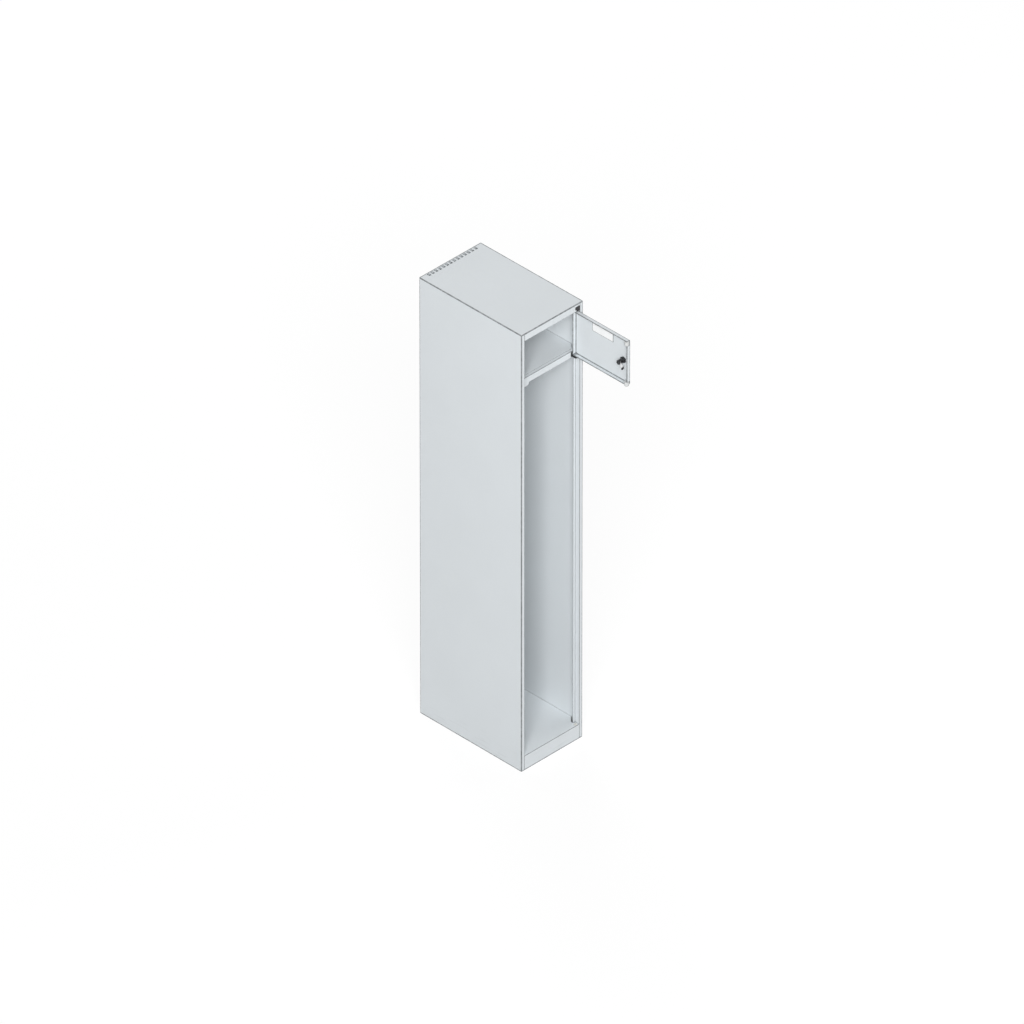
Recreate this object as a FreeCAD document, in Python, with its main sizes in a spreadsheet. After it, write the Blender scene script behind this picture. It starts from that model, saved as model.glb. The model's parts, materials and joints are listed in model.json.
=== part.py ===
"""Steel wardrobe locker with a lockable top compartment, its small door standing open.

Millimetres, +Z up, front towards -Y. The origin is the middle of the footprint, on the ground.
"""
import FreeCAD, Part
import os
import Sketcher

Vector = FreeCAD.Vector

# Driving dimensions: alias, millimetres, what it measures
DRIVING_SIZES = (
    ("carcass_width", 300, "outside width of the cabinet"),
    ("carcass_depth", 500, "outside depth of the cabinet"),
    ("carcass_height", 1850, "outside height of the cabinet"),
    ("gauge", 1, "sheet thickness of the cabinet"),
    ("bend_radius", 2, "outside radius of the folds"),
    ("fit_gap", 0.3, "assembly clearance between pieces slid into each other"),
    ("stile_width", 15, "front face of each folded stile"),
    ("stile_return", 21, "depth from the front to the face the door stops at"),
    ("stop_width", 10, "door stop folded inwards from the stile"),
    ("rear_flange", 15, "side panel's flange behind the back panel"),
    ("weld_flange", 20, "turned-down edges of the top and the shelf"),
    ("header_height", 30, "front rail over the door"),
    ("header_flange", 15, "header's flange under the top"),
    ("plinth_height", 60, "top of the floor above the ground"),
    ("foot_lip", 12, "inward lip the floor pan stands on"),
    ("corner_reach", 9, "floor edge beside the door stop before its corner is cut off"),
    ("wall_hole_diameter", 8, "wall fixing holes in the back panel"),
    ("wall_hole_spacing", 200, "between the two wall fixing holes"),
    ("wall_hole_drop", 60, "wall fixing holes below the top"),
    ("vent_count", 14, "slots in the row at the back of the top"),
    ("vent_pitch", 17.5, "from one slot to the next"),
    ("vent_width", 10, "slot, side to side"),
    ("vent_length", 14, "slot, front to back"),
    ("vent_edge", 5, "slots in front of the back edge"),
    ("top_box_height", 206, "top face of the shelf below the top of the cabinet"),
    ("shelf_setback", 12, "shelf edge behind the cross rail's face"),
    ("shelf_corner", 22, "shelf corners cut off round the stiles"),
    ("cross_rail_height", 25, "face of the rail under the shelf"),
    ("cross_rail_flange", 24, "rail's flange that carries the shelf"),
    ("rail_tab_drop", 12, "tab below the rail at the lock side"),
    ("rail_tab_length", 43, "tab along the rail"),
    ("rail_tab_radius", 9, "rounded corner of the tab"),
    ("clothes_rail_diameter", 20, "tube across the lower compartment"),
    ("clothes_rail_wall", 1.2, "wall of that tube"),
    ("clothes_rail_drop", 85, "tube's axis below the shelf"),
    ("socket_flange_diameter", 38, "flange of the tube's end sockets"),
    ("socket_wall", 2.5, "flange and cup wall of the sockets"),
    ("socket_depth", 14, "sockets, off the side panel"),
    ("door_gap", 3, "between the door and each stile"),
    ("door_top_gap", 4, "between the door and the header"),
    ("door_overlap", 12, "door edge below the top of the shelf"),
    ("door_depth", 17, "folded edges of the door pan"),
    ("door_gauge", 1, "sheet thickness of the door"),
    ("door_bend", 2, "outside radius of the door's folds"),
    ("door_corner", 3, "outside radius of the door's corners"),
    ("door_open_angle", 90, "door as it stands, in degrees from closed"),
    ("pivot_inset", 8, "hinge axis from the door's hinge edge"),
    ("pivot_depth", 8, "hinge axis behind the door's face"),
    ("pin_diameter", 5, "hinge pins"),
    ("pin_clearance", 0.05, "radial running clearance of the pins"),
    ("pin_reach", 10, "pin inside its bearing"),
    ("pin_head_diameter", 9, "head of a pin, inside the door"),
    ("pin_head_height", 2, "head of a pin, along its axis"),
    ("block_reach", 11, "bearing pieces beside the hinge axis, towards the opening"),
    ("block_height", 19, "upper pivot block"),
    ("block_step_reach", 5.5, "step under the upper pivot block's end, sideways"),
    ("block_step_height", 7, "step under the upper pivot block's end, upwards"),
    ("block_depth", 18, "upper pivot block behind the front"),
    ("block_proud", 0.8, "upper pivot block in front of the header"),
    ("block_radius", 3, "rounded edges of the upper pivot block"),
    ("spigot_diameter", 10, "block's spigot and the floor bush's shank"),
    ("arm_radius", 6.5, "nose of the lower bearing round the pin"),
    ("arm_height", 10, "lower bearing's arm"),
    ("arm_drop", 1, "lower bearing's arm below the door"),
    ("washer_diameter", 10, "thrust washer on the lower pin"),
    ("bush_head_diameter", 13, "head of the floor bush"),
    ("bush_head_height", 2, "head of the floor bush above the floor"),
    ("bush_length", 8, "shank of the floor bush below the floor's face"),
    ("label_width", 97, "label holder"),
    ("label_height", 30, "label holder"),
    ("label_drop", 16.5, "label holder below the top of the door"),
    ("label_lip", 3, "holder's rim over the window in the door"),
    ("label_frame", 5, "holder's rim round the card"),
    ("bezel_thickness", 1.5, "label bezel in front of the door"),
    ("card_thickness", 0.4, "label card"),
    ("label_back_thickness", 1.2, "label back plate, inside the door"),
    ("lock_inset", 31, "lock axis from the door's free edge"),
    ("lock_drop", 4, "lock axis below the middle of the door"),
    ("lock_head_diameter", 23, "lock's round front"),
    ("lock_head_height", 3, "lock's round front"),
    ("lock_barrel_diameter", 18, "lock barrel"),
    ("lock_length", 22.5, "lock barrel from the door's face"),
    ("nut_width", 22, "lock nut across its flats"),
    ("nut_thickness", 6, "lock nut"),
    ("plug_diameter", 12, "turning plug of the lock"),
    ("plug_clearance", 0.05, "radial running clearance of the plug"),
    ("plug_recess", 0.5, "plug behind the lock's front"),
    ("key_slot_width", 1.6, "key slot"),
    ("key_slot_height", 7, "key slot"),
    ("key_slot_depth", 6, "key slot"),
    ("tail_width", 8, "square tail of the plug"),
    ("cam_gap", 0.3, "cam behind the lock barrel"),
    ("cam_thickness", 2, "lock cam"),
    ("cam_rest_angle", 50, "lock cam as it stands, in degrees from hanging towards the free edge"),
    ("cam_width", 12, "blade of the lock cam"),
    ("cam_length", 28.5, "lock axis to the tip of the cam"),
    ("cam_hook_reach", 11, "cam's hook beside the blade's middle line"),
    ("cam_hook_height", 6, "cam's hook along the blade"),
    ("bolt_head_width", 16, "cam bolt across its flats"),
    ("bolt_head_height", 3.5, "cam bolt's head"),
    ("bolt_diameter", 5, "cam bolt's shank"),
    ("bolt_length", 10, "cam bolt's shank"),
    ("buffer_diameter", 18, "door buffers"),
    ("buffer_height", 21, "door buffers"),
    ("buffer_hang", 7.5, "lower buffer below the door's bottom edge"),
    ("buffer_flat", 0.5, "flat ring left outside the round of a buffer's domed underside"),
    ("buffer_notch_diameter", 15, "round notch in the door's edge under a buffer"),
    ("buffer_side_proud", 2.5, "buffers past the door's free edge"),
    ("buffer_rear_proud", 3, "buffers behind the door's rim"),
    ("buffer_foot_length", 11, "buffer's foot along the door"),
)


class Size:
    """A length with both its number and the sheet expression that gives it."""

    def __init__(self, text, number):
        self.text = text
        self.number = float(number)

    def __add__(self, other):
        other = as_size(other)
        return Size(f"({self.text} + {other.text})", self.number + other.number)

    def __sub__(self, other):
        other = as_size(other)
        return Size(f"({self.text} - {other.text})", self.number - other.number)

    def __mul__(self, other):
        other = as_size(other)
        return Size(f"({self.text} * {other.text})", self.number * other.number)

    def __truediv__(self, other):
        other = as_size(other)
        return Size(f"({self.text} / {other.text})", self.number / other.number)

    def __neg__(self):
        return Size(f"(0 - {self.text})", -self.number)


def as_size(value):
    if isinstance(value, Size):
        return value
    return Size(repr(float(value)), value)


doc = FreeCAD.newDocument("Locker")
sheet = doc.addObject("Spreadsheet::Sheet", "Sizes")
for row, (alias, number, meaning) in enumerate(DRIVING_SIZES, start=1):
    sheet.set(f"A{row}", meaning)
    sheet.set(f"B{row}", str(number))
    sheet.setAlias(f"B{row}", alias)
doc.recompute()


def size(alias):
    return Size(f"Sizes.{alias}", getattr(sheet, alias))


def bind(target, path, value):
    """Tie a property or a constraint to the sheet."""
    target.setExpression(path, as_size(value).text)


# Bodies, sketches and features
def new_body(label):
    body = doc.addObject("PartDesign::Body", label)
    body.Label = label
    return body


def new_sketch(body, plane, height=0, across=0):
    """A sketch parallel to one of the body's origin planes: height along its normal, across along its X."""
    sketch = body.newObject("Sketcher::SketchObject", "Sketch")
    support = [item for item in body.Origin.OriginFeatures if item.Role == plane][0]
    sketch.AttachmentSupport = [(support, "")]
    sketch.MapMode = "FlatFace"
    bind(sketch, "AttachmentOffset.Base.z", height)
    bind(sketch, "AttachmentOffset.Base.x", across)
    return sketch


def place_point(sketch, geometry, point, x, y):
    """Hold one point of a sketch at a place given by the sheet."""
    for kind, value in (("DistanceX", as_size(x)), ("DistanceY", as_size(y))):
        index = sketch.addConstraint(Sketcher.Constraint(kind, -1, 1, geometry, point, value.number))
        bind(sketch, f"Constraints[{index}]", value)


def polygon(sketch, points):
    """A closed outline of straight edges."""
    corners = [Vector(as_size(x).number, as_size(y).number, 0) for x, y in points]
    count = len(corners)
    first = sketch.GeometryCount
    for step in range(count):
        sketch.addGeometry(Part.LineSegment(corners[step], corners[(step + 1) % count]), False)
    for step in range(count):
        after = first + (step + 1) % count
        sketch.addConstraint(Sketcher.Constraint("Coincident", first + step, 2, after, 1))
    for step, (x, y) in enumerate(points):
        place_point(sketch, first + step, 1, x, y)


def rectangle(sketch, x_low, x_high, y_low, y_high):
    polygon(sketch, [(x_low, y_low), (x_high, y_low), (x_high, y_high), (x_low, y_high)])


def circle(sketch, x, y, diameter):
    centre = Vector(as_size(x).number, as_size(y).number, 0)
    index = sketch.addGeometry(Part.Circle(centre, Vector(0, 0, 1), diameter.number / 2), False)
    place_point(sketch, index, 3, x, y)
    limit = sketch.addConstraint(Sketcher.Constraint("Diameter", index, diameter.number))
    bind(sketch, f"Constraints[{limit}]", diameter)


def hexagon(sketch, flats):
    """A regular hexagon round the sketch's origin, by its width across flats, on one corner."""
    half = flats / 2
    corner = flats * 0.57735026919
    side = corner / 2
    polygon(sketch, [(half, side), (0, corner), (-half, side), (-half, -side), (0, -corner), (half, -side)])


def pad(body, sketch, length, backwards=False):
    feature = body.newObject("PartDesign::Pad", "Pad")
    feature.Profile = sketch
    bind(feature, "Length", length)
    feature.Reversed = backwards
    doc.recompute()
    return feature


def pocket(body, sketch, length, backwards=False):
    before = body.Shape.Volume
    feature = body.newObject("PartDesign::Pocket", "Pocket")
    feature.Profile = sketch
    bind(feature, "Length", length)
    feature.Reversed = backwards
    doc.recompute()
    if body.Shape.Volume >= before:
        raise RuntimeError(f"{body.Label}: a pocket cut nothing")
    return feature


def revolve(body, sketch):
    feature = body.newObject("PartDesign::Revolution", "Revolution")
    feature.Profile = sketch
    feature.ReferenceAxis = (sketch, ["V_Axis"])
    feature.Angle = 360
    doc.recompute()
    return feature


def edges_along(feature, direction, places):
    """Names of the straight edges along a direction that pass through the places, seen along it."""
    found = []
    for number, edge in enumerate(feature.Shape.Edges, start=1):
        if edge.Degenerated or not isinstance(edge.Curve, Part.Line):
            continue
        if edge.Curve.Direction.cross(direction).Length > 1e-6:
            continue
        start = edge.Vertexes[0].Point
        for place in places:
            if (start - place).cross(direction).Length < 1e-4:
                found.append(f"Edge{number}")
                break
    return found


def fillet(body, feature, direction, places, radius):
    """Round the edges along a direction; each place is a point on one edge's line."""
    points = [Vector(*[as_size(value).number for value in place]) for place in places]
    return round_edges(body, feature, edges_along(feature, direction, points), radius)


def dome(body, feature, rim_z, radius):
    """Round the circular edge at this height."""
    names = []
    for number, edge in enumerate(feature.Shape.Edges, start=1):
        if isinstance(edge.Curve, Part.Circle) and abs(edge.Curve.Center.z - rim_z.number) < 1e-4:
            names.append(f"Edge{number}")
    return round_edges(body, feature, names, radius)


def round_edges(body, feature, names, radius):
    if not names:
        raise RuntimeError(f"{body.Label}: no edge to round")
    rounding = body.newObject("PartDesign::Fillet", "Fillet")
    rounding.Base = (feature, names)
    bind(rounding, "Radius", radius)
    doc.recompute()
    return rounding


def fold(body, feature, direction, outside, inside, radius, thickness):
    """Give a sheet's sharp corners their bend radii."""
    rounded = fillet(body, feature, direction, outside, radius)
    return fillet(body, rounded, direction, inside, radius - thickness)


def hollow(body, feature, normal, wall):
    """Turn a block into a pan that is open on the face with this normal."""
    for number, face in enumerate(feature.Shape.Faces, start=1):
        flat = isinstance(face.Surface, Part.Plane)
        if flat and face.normalAt(0, 0).dot(normal) > 0.999:
            open_face = f"Face{number}"
            reach = face.CenterOfMass.dot(normal)
            if abs(reach - max(vertex.Point.dot(normal) for vertex in feature.Shape.Vertexes)) < 1e-6:
                break
    shell = body.newObject("PartDesign::Thickness", "Thickness")
    shell.Base = (feature, [open_face])
    bind(shell, "Value", wall)
    shell.Reversed = True
    doc.recompute()
    return shell


# Places that several pieces share
gauge = size("gauge")
bend = size("bend_radius")
fit_gap = size("fit_gap")
height = size("carcass_height")
side_x = size("carcass_width") / 2
back_y = size("carcass_depth") / 2
front_y = -back_y
inner_x = side_x - gauge
inner_back_y = back_y - gauge * 2
top_z = height - gauge
opening_x = side_x - size("stile_width")
stop_x = opening_x - size("stop_width")
stop_y = front_y + size("stile_return")
stop_back_y = stop_y + gauge
header_z = height - size("header_height")
plinth_z = size("plinth_height")
shelf_z = height - size("top_box_height")
rail_top_z = shelf_z - gauge
rail_bottom_z = rail_top_z - size("cross_rail_height")

door_top_z = header_z - size("door_top_gap")
door_bottom_z = shelf_z - size("door_overlap")
door_height = door_top_z - door_bottom_z
door_width = opening_x * 2 - size("door_gap") * 2
door_gauge = size("door_gauge")
pivot_x = opening_x - size("door_gap") - size("pivot_inset")
pivot_y = front_y + size("pivot_depth")
pin = size("pin_diameter")
pin_bore = pin + size("pin_clearance") * 2

# Door places, from the hinge axis with the door closed
hinge_edge = size("pivot_inset")
free_edge = hinge_edge - door_width
face = -size("pivot_depth")
skin = face + door_gauge
rim = face + size("door_depth")
buffer_radius = size("buffer_diameter") / 2
buffer_x = free_edge - size("buffer_side_proud") + buffer_radius
buffer_y = rim + size("buffer_rear_proud") - buffer_radius
buffer_dome = buffer_radius - size("buffer_flat")
upper_buffer_z = door_top_z - door_gauge - size("buffer_height")
lower_buffer_z = door_bottom_z - size("buffer_hang")
lock_x = free_edge + size("lock_inset")
lock_z = (door_top_z + door_bottom_z) / 2 - size("lock_drop")
barrel_end = face + size("lock_length")
cam_front = barrel_end + size("cam_gap")
cam_back = cam_front + size("cam_thickness")
label_x = (hinge_edge + free_edge) / 2
label_top_z = door_top_z - size("label_drop")
label_z = label_top_z - size("label_height") / 2

ALONG_X = Vector(1, 0, 0)
ALONG_Y = Vector(0, 1, 0)
ALONG_Z = Vector(0, 0, 1)


def put_on_door(body):
    """Swing a piece that is drawn on the closed door, round the hinge axis, to where the door stands."""
    body.Placement.Rotation = FreeCAD.Rotation(ALONG_Z, sheet.door_open_angle)
    bind(body, "Placement.Base.x", pivot_x)
    bind(body, "Placement.Base.y", pivot_y)
    bind(body, "Placement.Rotation.Angle", size("door_open_angle"))
    return body


# Cabinet
def side_panel(label, side):
    """One sheet: rear flange, side, stile, its return and the door stop. side is 1 right, -1 left."""
    body = new_body(label)
    outline = [
        (side_x - size("rear_flange"), back_y),
        (side_x, back_y),
        (side_x, front_y),
        (opening_x, front_y),
        (opening_x, stop_y),
        (stop_x, stop_y),
        (stop_x, stop_back_y),
        (opening_x + gauge, stop_back_y),
        (opening_x + gauge, front_y + gauge),
        (inner_x, front_y + gauge),
        (inner_x, back_y - gauge),
        (side_x - size("rear_flange"), back_y - gauge),
    ]
    outline = [(x * side, y) for x, y in outline]
    sketch = new_sketch(body, "XY_Plane")
    polygon(sketch, outline)
    profile = pad(body, sketch, top_z)
    outside = [(*outline[corner], 0) for corner in (1, 2, 3, 7)]
    inside = [(*outline[corner], 0) for corner in (10, 9, 8, 4)]
    fold(body, profile, ALONG_Z, outside, inside, bend, gauge)
    return body


def back_panel():
    body = new_body("back_panel")
    half = side_x - bend
    sketch = new_sketch(body, "XZ_Plane", -(back_y - gauge))
    rectangle(sketch, -half, half, 0, top_z)
    pad(body, sketch, gauge)
    holes = new_sketch(body, "XZ_Plane", -inner_back_y)
    for side in (-1, 1):
        hole_x = size("wall_hole_spacing") / 2 * side
        circle(holes, hole_x, height - size("wall_hole_drop"), size("wall_hole_diameter"))
    pocket(body, holes, gauge * 2)
    return body


def top_panel():
    """The top sheet with its turned-down edges and the row of vent slots."""
    body = new_body("top_panel")
    sketch = new_sketch(body, "XY_Plane", top_z)
    rectangle(sketch, -side_x, side_x, front_y, back_y)
    plate = pad(body, sketch, gauge)
    corners = [(side_x * right, back_y * rear, 0) for right in (-1, 1) for rear in (-1, 1)]
    fillet(body, plate, ALONG_Z, corners, bend)
    edges = new_sketch(body, "XY_Plane", top_z)
    lip_front_y = stop_back_y + size("shelf_setback") + size("shelf_corner")
    polygon(edges, [
        (-inner_x, lip_front_y),
        (-inner_x, inner_back_y),
        (inner_x, inner_back_y),
        (inner_x, lip_front_y),
        (inner_x - gauge, lip_front_y),
        (inner_x - gauge, inner_back_y - gauge),
        (gauge - inner_x, inner_back_y - gauge),
        (gauge - inner_x, lip_front_y),
    ])
    pad(body, edges, size("weld_flange"), backwards=True)
    slot = new_sketch(body, "XY_Plane", height)
    first_x = -(size("vent_pitch") * (size("vent_count") - 1) / 2)
    slot_back_y = back_y - size("vent_edge")
    half = size("vent_width") / 2
    rectangle(slot, first_x - half, first_x + half, slot_back_y - size("vent_length"), slot_back_y)
    cut = pocket(body, slot, gauge * 2)
    row = body.newObject("PartDesign::LinearPattern", "VentRow")
    row.Originals = [cut]
    row.Direction = (slot, ["H_Axis"])
    bind(row, "Length", size("vent_pitch") * (size("vent_count") - 1))
    bind(row, "Occurrences", size("vent_count"))
    body.Tip = row
    doc.recompute()
    return body


def header_rail():
    """Folded rail over the door: flange, face, return and door stop, with the pivot block's seat."""
    body = new_body("header_rail")
    outline = [
        (front_y + size("header_flange"), top_z),
        (front_y, top_z),
        (front_y, header_z),
        (stop_y, header_z),
        (stop_y, header_z - size("stop_width")),
        (stop_back_y, header_z - size("stop_width")),
        (stop_back_y, header_z + gauge),
        (front_y + gauge, header_z + gauge),
        (front_y + gauge, top_z - gauge),
        (front_y + size("header_flange"), top_z - gauge),
    ]
    half = opening_x - fit_gap
    sketch = new_sketch(body, "YZ_Plane", -half)
    polygon(sketch, outline)
    profile = pad(body, sketch, half * 2)
    outside = [(0, *outline[corner]) for corner in (1, 2, 6)]
    inside = [(0, *outline[corner]) for corner in (8, 7, 3)]
    fold(body, profile, ALONG_X, outside, inside, bend, gauge)
    ends = new_sketch(body, "XY_Plane", height)
    for side in (-1, 1):
        near = (stop_x - fit_gap) * side
        far = side_x * side
        rectangle(ends, near, far, stop_y - bend, stop_back_y + bend)
    pocket(body, ends, size("header_height") + size("stop_width") * 2)
    seat = new_sketch(body, "XZ_Plane", -front_y + bend)
    block_edge = pivot_x - size("block_reach") - fit_gap
    seat_z = header_z + gauge
    seat_top_z = seat_z + size("block_height") + fit_gap
    step_x = block_edge + size("block_step_reach")
    step_z = seat_z + size("block_step_height") - fit_gap
    polygon(seat, [
        (step_x, seat_z),
        (side_x, seat_z),
        (side_x, seat_top_z),
        (block_edge, seat_top_z),
        (block_edge, step_z),
        (step_x, step_z),
    ])
    pocket(body, seat, bend * 3)
    spigot = new_sketch(body, "XY_Plane", seat_z)
    circle(spigot, pivot_x, pivot_y, size("spigot_diameter"))
    pocket(body, spigot, gauge * 2)
    return body


def floor_outline():
    """The floor's plan: between the stiles at the front, cut off at 45 degrees behind them."""
    front_x = opening_x - fit_gap
    neck_x = stop_x - fit_gap
    neck_y = stop_y - bend
    cut_y = stop_y + size("corner_reach")
    right = [
        (front_x, front_y),
        (front_x, neck_y),
        (neck_x, neck_y),
        (neck_x, cut_y),
        (inner_x, cut_y + inner_x - neck_x),
        (inner_x, inner_back_y),
    ]
    left = [(-x, y) for x, y in reversed(right)]
    return right + left


def floor_panel():
    """Floor pan on deep folded edges; its front edge is the plinth, its lip stands on the ground."""
    body = new_body("floor_panel")
    sketch = new_sketch(body, "XY_Plane")
    polygon(sketch, floor_outline())
    block = pad(body, sketch, plinth_z)
    rounded = fillet(body, block, ALONG_X, [(0, front_y, plinth_z)], bend)
    hollow(body, rounded, -ALONG_Z, gauge)
    lip = new_sketch(body, "XY_Plane")
    polygon(lip, floor_outline())
    lip_x = stop_x - fit_gap - gauge - size("foot_lip")
    lip_depth = gauge + size("foot_lip")
    rectangle(lip, -lip_x, lip_x, front_y + lip_depth, inner_back_y - lip_depth)
    pad(body, lip, gauge)
    bush_seat = new_sketch(body, "XY_Plane", plinth_z)
    circle(bush_seat, pivot_x, pivot_y, size("spigot_diameter"))
    pocket(body, bush_seat, gauge * 2)
    return body


def shelf_panel():
    body = new_body("shelf_panel")
    front = stop_back_y + size("shelf_setback")
    corner = size("shelf_corner")
    sketch = new_sketch(body, "XY_Plane", shelf_z)
    polygon(sketch, [
        (inner_x - corner, front),
        (inner_x, front + corner),
        (inner_x, inner_back_y),
        (-inner_x, inner_back_y),
        (-inner_x, front + corner),
        (corner - inner_x, front),
    ])
    pad(body, sketch, gauge, backwards=True)
    edges = new_sketch(body, "XY_Plane", rail_top_z)
    polygon(edges, [
        (-inner_x, front + corner),
        (-inner_x, inner_back_y),
        (inner_x, inner_back_y),
        (inner_x, front + corner),
        (inner_x - gauge, front + corner),
        (inner_x - gauge, inner_back_y - gauge),
        (gauge - inner_x, inner_back_y - gauge),
        (gauge - inner_x, front + corner),
    ])
    pad(body, edges, size("weld_flange"), backwards=True)
    return body


def cross_rail():
    """Angle rail behind the door stops: its flange carries the shelf, its tab hangs at the lock side."""
    body = new_body("cross_rail")
    tab_x = size("rail_tab_length") - opening_x
    tab_z = rail_bottom_z - size("rail_tab_drop")
    sketch = new_sketch(body, "XZ_Plane", -(stop_back_y + gauge))
    polygon(sketch, [
        (-opening_x, rail_top_z),
        (opening_x, rail_top_z),
        (opening_x, rail_bottom_z),
        (tab_x, rail_bottom_z),
        (tab_x, tab_z),
        (-opening_x, tab_z),
    ])
    web = pad(body, sketch, gauge)
    fillet(body, web, ALONG_Y, [(tab_x, 0, tab_z)], size("rail_tab_radius"))
    flange = new_sketch(body, "XY_Plane", rail_top_z)
    rectangle(flange, -opening_x, opening_x, stop_back_y, stop_back_y + size("cross_rail_flange"))
    angle = pad(body, flange, gauge, backwards=True)
    outside = [(0, stop_back_y, rail_top_z)]
    inside = [(0, stop_back_y + gauge, rail_top_z - gauge)]
    fold(body, angle, ALONG_X, outside, inside, bend, gauge)
    return body


def upper_pivot_block():
    """Moulded block in the header's seat, stepped at its end; its spigot reaches through the return."""
    body = new_body("upper_pivot_block")
    seat_z = header_z + gauge
    left = pivot_x - size("block_reach")
    right = opening_x - fit_gap
    front = front_y - size("block_proud")
    sketch = new_sketch(body, "XY_Plane", seat_z)
    rectangle(sketch, left, right, front, front_y + size("block_depth"))
    block = pad(body, sketch, size("block_height"))
    rounded = fillet(body, block, ALONG_Z, [(left, front, 0)], size("block_radius"))
    fillet(body, rounded, ALONG_Y, [(left, 0, seat_z + size("block_height"))], size("block_radius"))
    step = new_sketch(body, "XZ_Plane", -front)
    step_z = seat_z + size("block_step_height")
    rectangle(step, left - bend, left + size("block_step_reach"), seat_z - bend, step_z)
    pocket(body, step, size("block_proud") + size("block_depth"))
    spigot = new_sketch(body, "XY_Plane", header_z)
    circle(spigot, pivot_x, pivot_y, size("spigot_diameter"))
    pad(body, spigot, gauge * 2)
    bore = new_sketch(body, "XY_Plane", header_z)
    circle(bore, pivot_x, pivot_y, pin_bore)
    pocket(body, bore, size("pin_reach") + size("arm_drop"), backwards=True)
    return body


def lower_pivot_bearing():
    """Moulded bearing on the cross rail: a plate on the rail and an arm forward to the hinge axis."""
    body = new_body("lower_pivot_bearing")
    arm_top_z = door_bottom_z - size("arm_drop")
    arm_bottom_z = arm_top_z - size("arm_height")
    radius = size("arm_radius")
    plate = new_sketch(body, "XZ_Plane", -stop_back_y)
    rectangle(plate, pivot_x - size("block_reach"), stop_x - fit_gap, arm_bottom_z, rail_top_z - bend)
    pad(body, plate, gauge)
    arm = new_sketch(body, "XY_Plane", arm_bottom_z)
    polygon(arm, [
        (pivot_x - radius, stop_back_y),
        (pivot_x - radius, pivot_y),
        (pivot_x + radius, pivot_y),
        (pivot_x + radius, stop_y),
        (stop_x - fit_gap, stop_y),
        (stop_x - fit_gap, stop_back_y),
    ])
    pad(body, arm, size("arm_height"))
    nose = new_sketch(body, "XY_Plane", arm_bottom_z)
    circle(nose, pivot_x, pivot_y, radius * 2)
    pad(body, nose, size("arm_height"))
    bore = new_sketch(body, "XY_Plane", arm_top_z)
    circle(bore, pivot_x, pivot_y, pin_bore)
    pocket(body, bore, size("arm_height"))
    return body


def floor_pivot_bush():
    """Flanged bush in the floor, below the hinge axis."""
    body = new_body("floor_pivot_bush")
    inner = pin_bore / 2
    shank = size("spigot_diameter") / 2
    head = size("bush_head_diameter") / 2
    sketch = new_sketch(body, "XZ_Plane")
    polygon(sketch, [
        (inner, plinth_z - size("bush_length")),
        (shank, plinth_z - size("bush_length")),
        (shank, plinth_z),
        (head, plinth_z),
        (head, plinth_z + size("bush_head_height")),
        (inner, plinth_z + size("bush_head_height")),
    ])
    revolve(body, sketch)
    bind(body, "Placement.Base.x", pivot_x)
    bind(body, "Placement.Base.y", pivot_y)
    return body


def clothes_rail():
    """Tube across the lower compartment, held at both ends."""
    body = new_body("clothes_rail")
    half = inner_x - size("socket_wall")
    outside = size("clothes_rail_diameter")
    rail_z = shelf_z - size("clothes_rail_drop")
    sketch = new_sketch(body, "YZ_Plane", -half)
    circle(sketch, 0, rail_z, outside)
    circle(sketch, 0, rail_z, outside - size("clothes_rail_wall") * 2)
    pad(body, sketch, half * 2)
    return body


def rail_socket(label, side):
    """Cup on the side panel that holds one end of the clothes rail. side is 1 right, -1 left."""
    body = new_body(label)
    bore = size("clothes_rail_diameter") / 2
    cup = bore + size("socket_wall")
    flange = size("socket_flange_diameter") / 2
    wall = size("socket_wall")
    depth = size("socket_depth")
    sketch = new_sketch(body, "XZ_Plane")
    polygon(sketch, [
        (0, 0),
        (flange, 0),
        (flange, wall),
        (cup, wall),
        (cup, depth),
        (bore, depth),
        (bore, wall),
        (0, wall),
    ])
    revolve(body, sketch)
    body.Placement.Rotation = FreeCAD.Rotation(ALONG_Y, -90 * side)
    bind(body, "Placement.Base.x", inner_x * side)
    bind(body, "Placement.Base.z", shelf_z - size("clothes_rail_drop"))
    return body


# Door, drawn closed with the hinge axis at the origin
def label_rectangle(sketch, inset):
    half_width = size("label_width") / 2 - inset
    half_height = size("label_height") / 2 - inset
    low_z = label_z - half_height
    high_z = label_z + half_height
    rectangle(sketch, label_x - half_width, label_x + half_width, low_z, high_z)


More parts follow.
